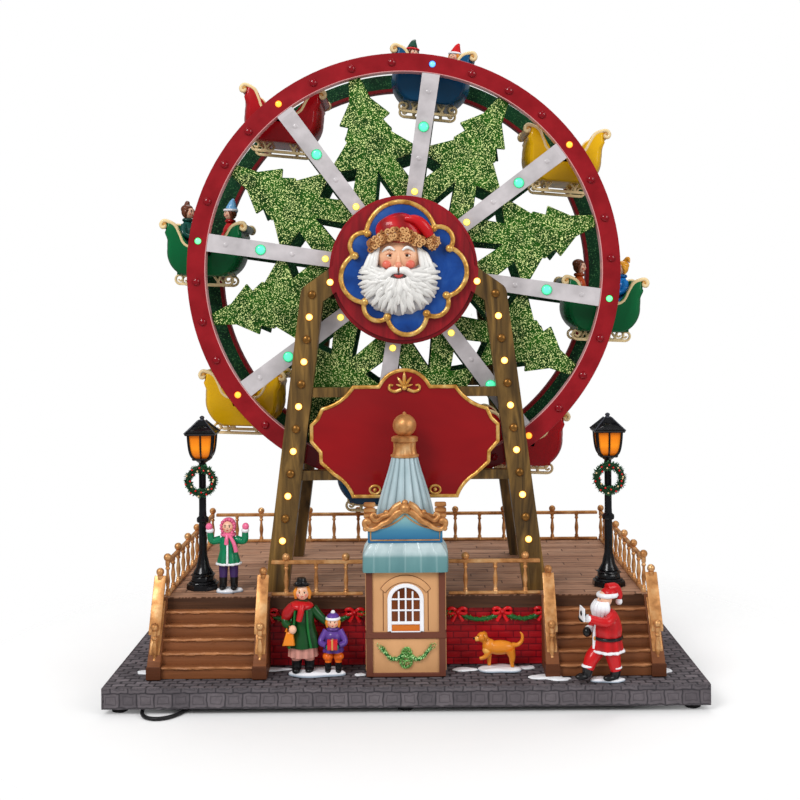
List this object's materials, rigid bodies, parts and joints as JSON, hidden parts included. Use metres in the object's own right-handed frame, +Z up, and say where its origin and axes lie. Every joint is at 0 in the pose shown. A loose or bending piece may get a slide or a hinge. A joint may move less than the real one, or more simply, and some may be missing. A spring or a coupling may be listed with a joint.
{
  "type": "musical ferris wheel ornament",
  "caption": "Lit tabletop ferris wheel on a stepped platform; level sleighs hang between its rims while a geared motor turns it.",
  "frame": {"origin": "middle of the stand's footprint, on the surface it rests on", "axes": "+X to the right, +Y to the back, +Z up, seen from the front where the sign is"},
  "size_m": [0.36, 0.3015, 0.4229],
  "materials": {
    "cobble_grey": "moulded, stone-grey paint",
    "cover_black": "fine moulded texture",
    "screw_steel": "plain",
    "foot_rubber": "soft, matte",
    "brick_red": "moulded brick, painted",
    "deck_brown": "moulded planks, painted",
    "rail_gold": "satin gold paint",
    "garland_green": "moulded sprigs, glitter",
    "booth_tan": "painted",
    "window_glow": "translucent, lit",
    "roof_blue": "painted, pale blue",
    "crest_blue": "painted",
    "lamp_black": "painted",
    "lamp_amber": "translucent, lit",
    "frame_brown": "moulded beam, painted",
    "bulb_warm": "clear lens, lit",
    "sign_red": "painted",
    "medallion_blue": "painted",
    "head_paint": "hand painted",
    "figure_paint": "hand painted",
    "bush_brass": "plain",
    "board_green": "plain",
    "cord_black": "smooth",
    "adaptor_black": "fine moulded texture",
    "control_black": "smooth",
    "gear_white": "smooth",
    "rim_red": "glitter paint",
    "spoke_white": "glitter paint",
    "hub_red": "painted",
    "tree_green": "glitter paint",
    "rear_green": "glitter paint",
    "bulb_colours": "clear lens, lit",
    "sleigh_yellow": "high gloss paint",
    "sleigh_blue": "high gloss paint",
    "sleigh_red": "high gloss paint",
    "sleigh_green": "high gloss paint",
    "rider_paint": "hand painted"
  },
  "bodies": {
    "stand": {"plinth": "cobble_grey", "base_cover": "cover_black", "strain_relief": "cover_black", "cover_screws": "screw_steel", "motor": "screw_steel", "feet": "foot_rubber", "platform_wall": "brick_red", "deck": "deck_brown", "stairs": "deck_brown", "stair_rails": "rail_gold", "railing_sides": "rail_gold", "railing_back": "rail_gold", "railing_front": "rail_gold", "wall_garland": "garland_green", "wreaths": "garland_green", "booth_body": "booth_tan", "booth_window": "window_glow", "booth_roof": "roof_blue", "booth_crest": "crest_blue", "lamp_posts": "lamp_black", "lamp_panes": "lamp_amber", "frame_front": "frame_brown", "frame_back": "frame_brown", "motor_case": "frame_brown", "frame_lights": "bulb_warm", "sign_board": "sign_red", "medallion": "medallion_blue", "medallion_head": "head_paint", "figure_girl": "figure_paint", "figure_family": "figure_paint", "figure_dog": "figure_paint", "figure_santa": "figure_paint", "axle_bushes": "bush_brass", "sound_unit": "board_green", "cord": "cord_black", "cord_coil": "cord_black", "cord_tail": "cord_black", "adaptor": "adaptor_black"},
    "wheel": {"rim_front": "rim_red", "spokes_front": "spoke_white", "hub_disc": "hub_red", "trees_front": "tree_green", "wheel_back": "rear_green", "wheel_lights": "bulb_colours", "wheel_axle": "screw_steel", "axle_gear": "gear_white"},
    "pinion": {"motor_pinion": "gear_white"},
    "switch": {"power_switch": "control_black"},
    "knob": {"volume_knob": "control_black"},
    "car_yellow_upper_right": {"sleigh_yellow_upper_right": "sleigh_yellow"},
    "car_blue_top": {"sleigh_blue_top": "sleigh_blue", "riders_blue_top": "rider_paint"},
    "car_red_upper_left": {"sleigh_red_upper_left": "sleigh_red"},
    "car_green_left": {"sleigh_green_left": "sleigh_green", "riders_green_left": "rider_paint"},
    "car_yellow_lower_left": {"sleigh_yellow_lower_left": "sleigh_yellow"},
    "car_blue_bottom": {"sleigh_blue_bottom": "sleigh_blue"},
    "car_red_lower_right": {"sleigh_red_lower_right": "sleigh_red"},
    "car_green_right": {"sleigh_green_right": "sleigh_green", "riders_green_right": "rider_paint"}
  },
  "joints": [
    {"name": "wheel_spin", "type": "hinge", "parent": "stand", "child": "wheel", "pos_m": [0, 0, 0.264], "axis": [0, 1, 0], "continuous": true},
    {"name": "pinion_spin", "type": "hinge", "parent": "stand", "child": "pinion", "pos_m": [0, 0, 0.2385], "axis": [0, 1, 0], "continuous": true},
    {"name": "switch_slide", "type": "slide", "parent": "stand", "child": "switch", "axis": [1, 0, 0], "range_m": [0, 0.003]},
    {"name": "knob_turn", "type": "hinge", "parent": "stand", "child": "knob", "pos_m": [0.09, 0.098, 0.04], "axis": [0, 1, 0], "range_deg": [0, 270]},
    {"name": "swing_yellow_upper_right", "type": "hinge", "parent": "wheel", "child": "car_yellow_upper_right", "pos_m": [0.10774, -0.009, 0.34401], "axis": [0, 1, 0], "continuous": true},
    {"name": "swing_blue_top", "type": "hinge", "parent": "wheel", "child": "car_blue_top", "pos_m": [0.0196, -0.009, 0.39676], "axis": [0, 1, 0], "continuous": true},
    {"name": "swing_red_upper_left", "type": "hinge", "parent": "wheel", "child": "car_red_upper_left", "pos_m": [-0.08001, -0.009, 0.37174], "axis": [0, 1, 0], "continuous": true},
    {"name": "swing_green_left", "type": "hinge", "parent": "wheel", "child": "car_green_left", "pos_m": [-0.13276, -0.009, 0.2836], "axis": [0, 1, 0], "continuous": true},
    {"name": "swing_yellow_lower_left", "type": "hinge", "parent": "wheel", "child": "car_yellow_lower_left", "pos_m": [-0.10774, -0.009, 0.18399], "axis": [0, 1, 0], "continuous": true},
    {"name": "swing_blue_bottom", "type": "hinge", "parent": "wheel", "child": "car_blue_bottom", "pos_m": [-0.0196, -0.009, 0.13124], "axis": [0, 1, 0], "continuous": true},
    {"name": "swing_red_lower_right", "type": "hinge", "parent": "wheel", "child": "car_red_lower_right", "pos_m": [0.08001, -0.009, 0.15626], "axis": [0, 1, 0], "continuous": true},
    {"name": "swing_green_right", "type": "hinge", "parent": "wheel", "child": "car_green_right", "pos_m": [0.13276, -0.009, 0.2444], "axis": [0, 1, 0], "continuous": true}
  ],
  "couplings": [
    {"joint": "pinion_spin", "follows": "wheel_spin", "ratio": -4},
    {"joint": "swing_yellow_upper_right", "follows": "wheel_spin", "ratio": -1},
    {"joint": "swing_blue_top", "follows": "wheel_spin", "ratio": -1},
    {"joint": "swing_red_upper_left", "follows": "wheel_spin", "ratio": -1},
    {"joint": "swing_green_left", "follows": "wheel_spin", "ratio": -1},
    {"joint": "swing_yellow_lower_left", "follows": "wheel_spin", "ratio": -1},
    {"joint": "swing_blue_bottom", "follows": "wheel_spin", "ratio": -1},
    {"joint": "swing_red_lower_right", "follows": "wheel_spin", "ratio": -1},
    {"joint": "swing_green_right", "follows": "wheel_spin", "ratio": -1}
  ]
}
